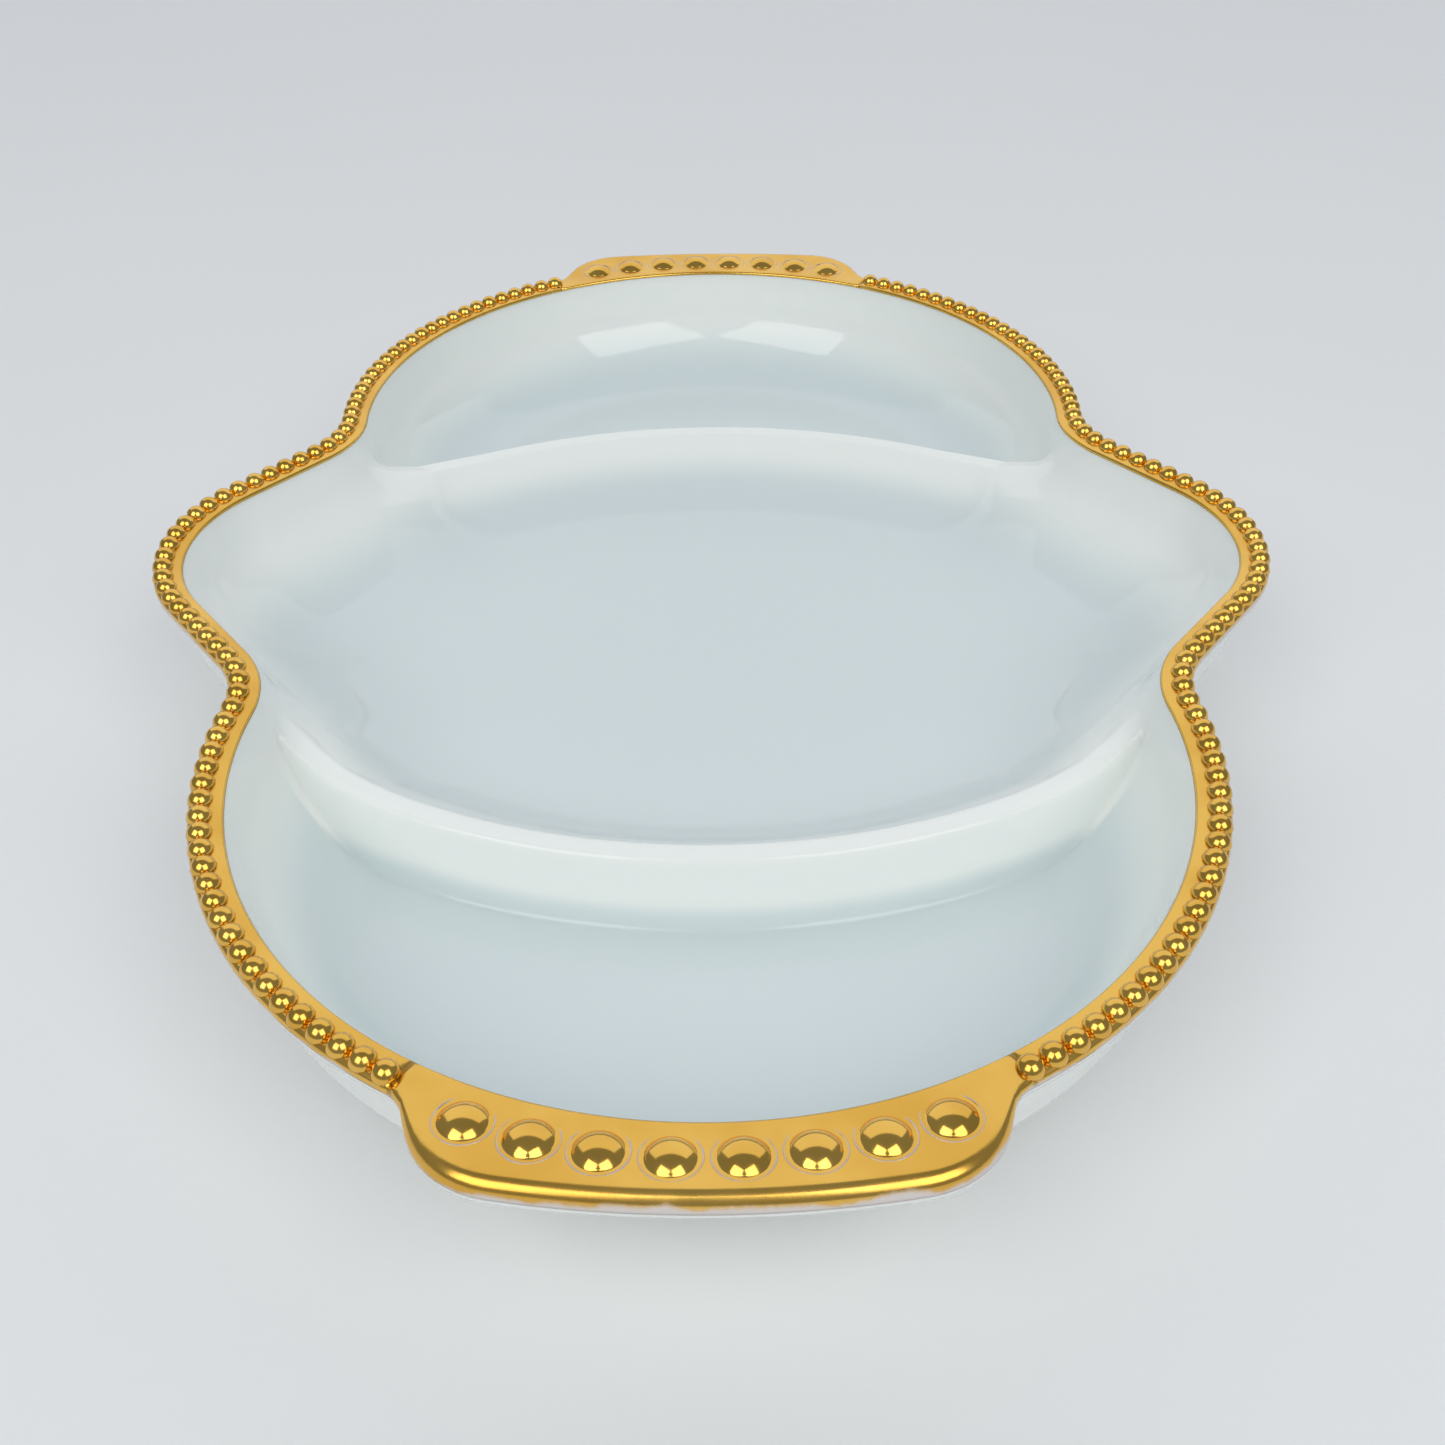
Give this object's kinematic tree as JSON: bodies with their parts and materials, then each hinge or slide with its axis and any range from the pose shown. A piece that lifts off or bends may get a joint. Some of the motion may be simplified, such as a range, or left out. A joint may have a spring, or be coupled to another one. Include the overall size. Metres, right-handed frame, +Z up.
{
  "type": "divided serving dish",
  "caption": "Lobed oval opal glass serving dish with a wide centre and two end compartments, curved dividers, a gilded beaded rim and flat end tabs.",
  "frame": {"origin": "on the ground under the middle of the dish, at the centre of its footprint", "axes": "+Z up out of the dish, +Y along its length towards the back tab, +X across its width to the right"},
  "size_m": [0.197, 0.278, 0.0318],
  "materials": {
    "opal_glass": "glossy",
    "fired_gold": "polished"
  },
  "bodies": {
    "root": {"glass_dish": "opal_glass", "left_rim_gilding": "fired_gold", "right_rim_gilding": "fired_gold", "left_rim_beads": "fired_gold", "right_rim_beads": "fired_gold", "front_tab_gilding": "fired_gold", "back_tab_gilding": "fired_gold", "front_tab_bosses": "fired_gold", "back_tab_bosses": "fired_gold"}
  },
  "joints": []
}
